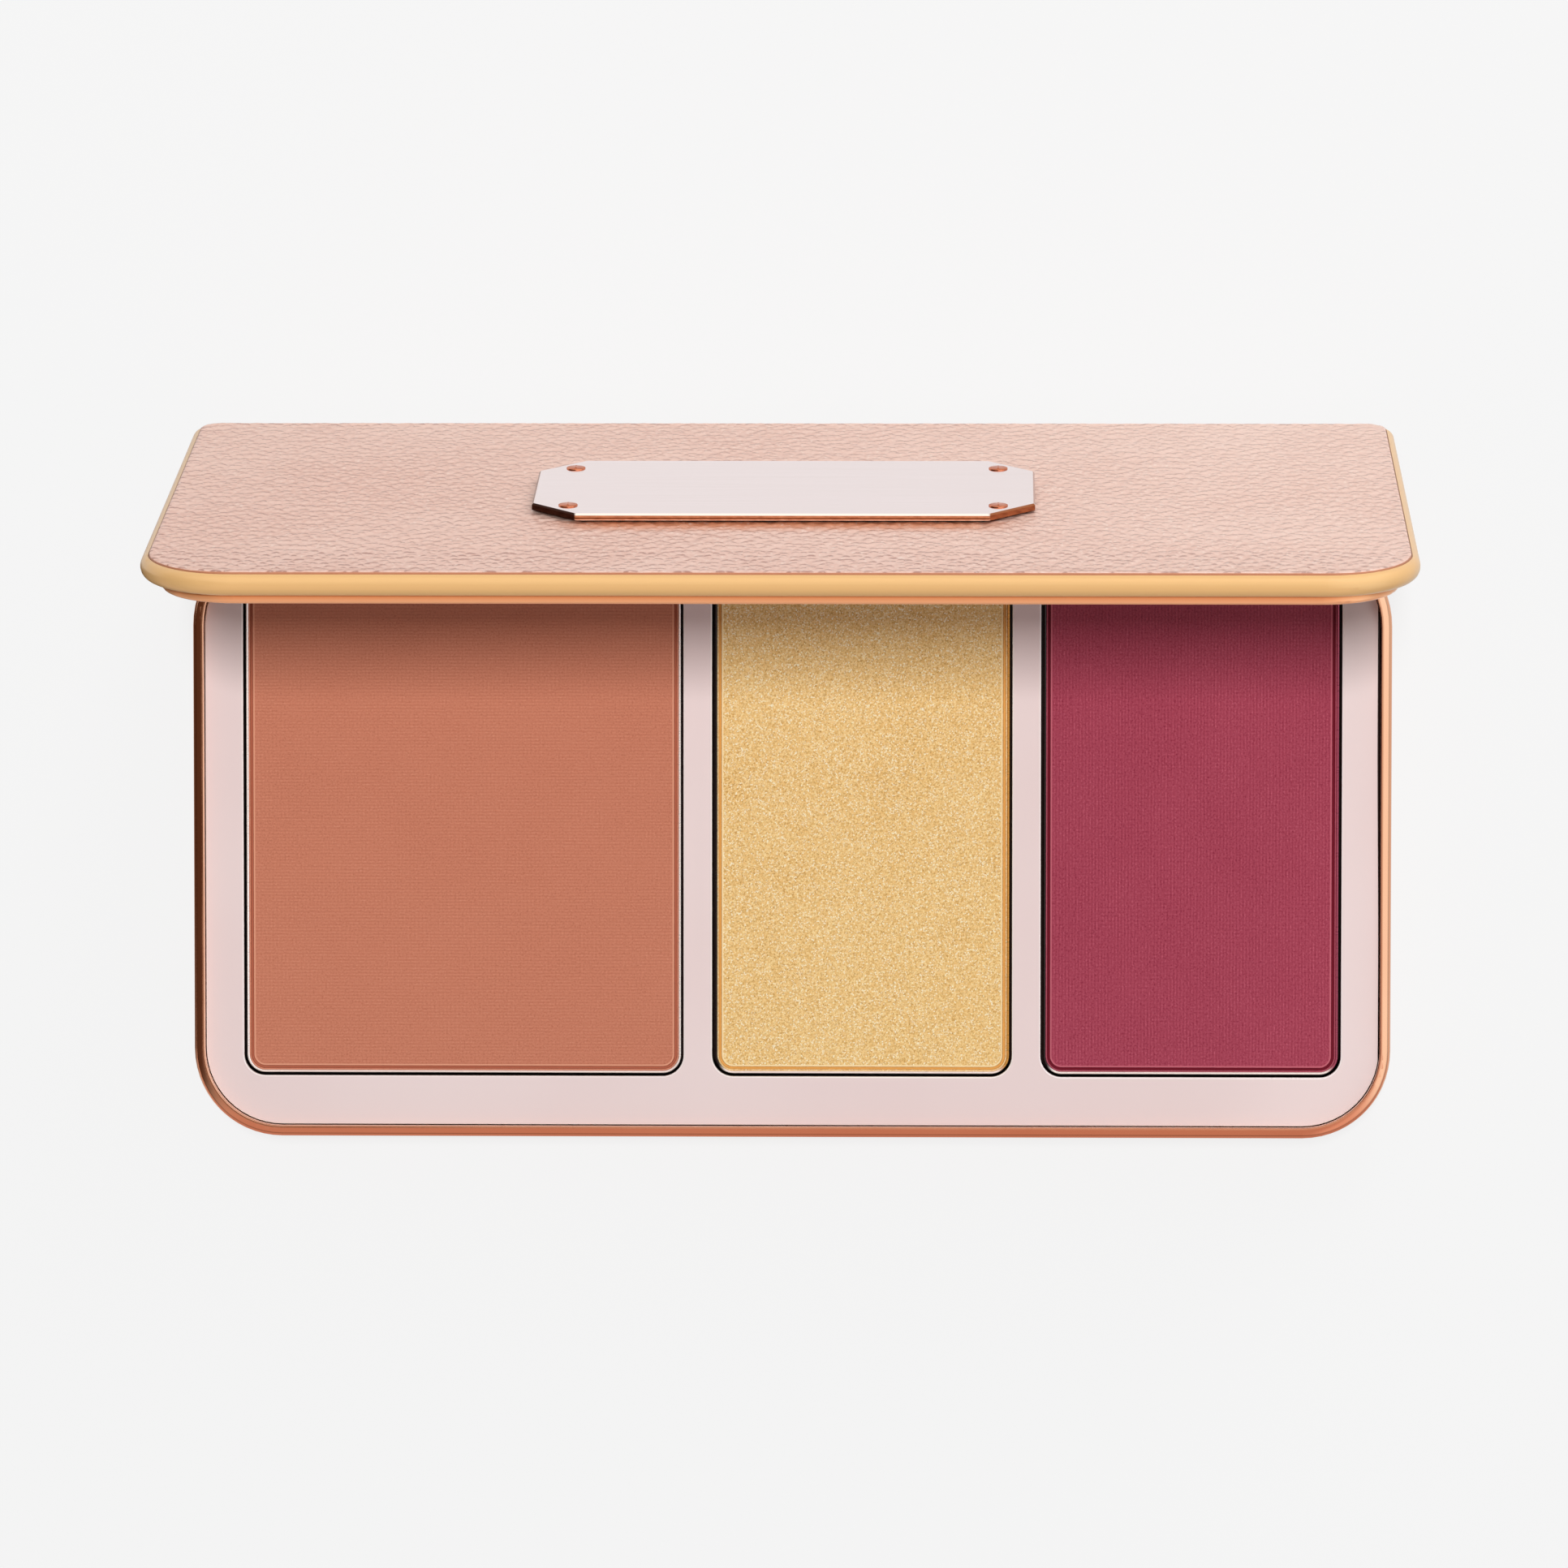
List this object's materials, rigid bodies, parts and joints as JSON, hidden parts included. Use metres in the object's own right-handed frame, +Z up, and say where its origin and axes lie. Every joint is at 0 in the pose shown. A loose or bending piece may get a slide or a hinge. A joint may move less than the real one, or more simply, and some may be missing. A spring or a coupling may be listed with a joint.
{
  "type": "face palette",
  "caption": "Slim hinged face palette: pressed powders in a glossy deck, a mirror inside the leather-clad lid, and a bare riveted plate on its back.",
  "frame": {"origin": "centre of the lower case's flat underside", "axes": "+X along the case to its right end, +Y towards the hinge, +Z up"},
  "size_m": [0.1366, 0.0811, 0.0735],
  "materials": {
    "rose_gold_case": "metallised rose gold, glossy",
    "pink_mirror_deck": "metallised pale pink, mirror gloss",
    "pan_metal": "bright rolled sheet",
    "bronzer_powder": "pressed matte powder with fine linen lines",
    "highlighter_powder": "pressed shimmer powder with glitter",
    "blush_powder": "pressed satin powder with fine lines",
    "adhesive": "clear pressure-sensitive film",
    "magnet_nickel": "nickel plated",
    "pin_steel": "drawn wire",
    "rose_leather": "metallic rose, fine cross grain",
    "plate_metal": "polished pale rose",
    "rivet_copper": "polished copper",
    "mirror_glass": "silvered glass with a fine bevel"
  },
  "bodies": {
    "base": {"base_shell": "rose_gold_case", "pan_tray": "pink_mirror_deck", "bronzer_pan": "pan_metal", "bronzer_glue": "adhesive", "bronzer_powder": "bronzer_powder", "highlighter_pan": "pan_metal", "highlighter_glue": "adhesive", "highlighter_powder": "highlighter_powder", "blush_pan": "pan_metal", "blush_glue": "adhesive", "blush_powder": "blush_powder", "base_magnets": "magnet_nickel", "hinge_pins": "pin_steel"},
    "lid": {"lid_shell": "rose_gold_case", "leather_adhesive": "adhesive", "leather_panel": "rose_leather", "plate_adhesive": "adhesive", "name_plate": "plate_metal", "plate_rivets": "rivet_copper", "mirror_frame": "rose_gold_case", "mirror": "mirror_glass", "mirror_tape": "adhesive", "lid_magnets": "magnet_nickel"}
  },
  "joints": [
    {"name": "lid_hinge", "type": "hinge", "parent": "base", "child": "lid", "pos_m": [0, 0.03625, 0.0024], "axis": [-1, 0, 0], "range_deg": [-78, 14]}
  ]
}
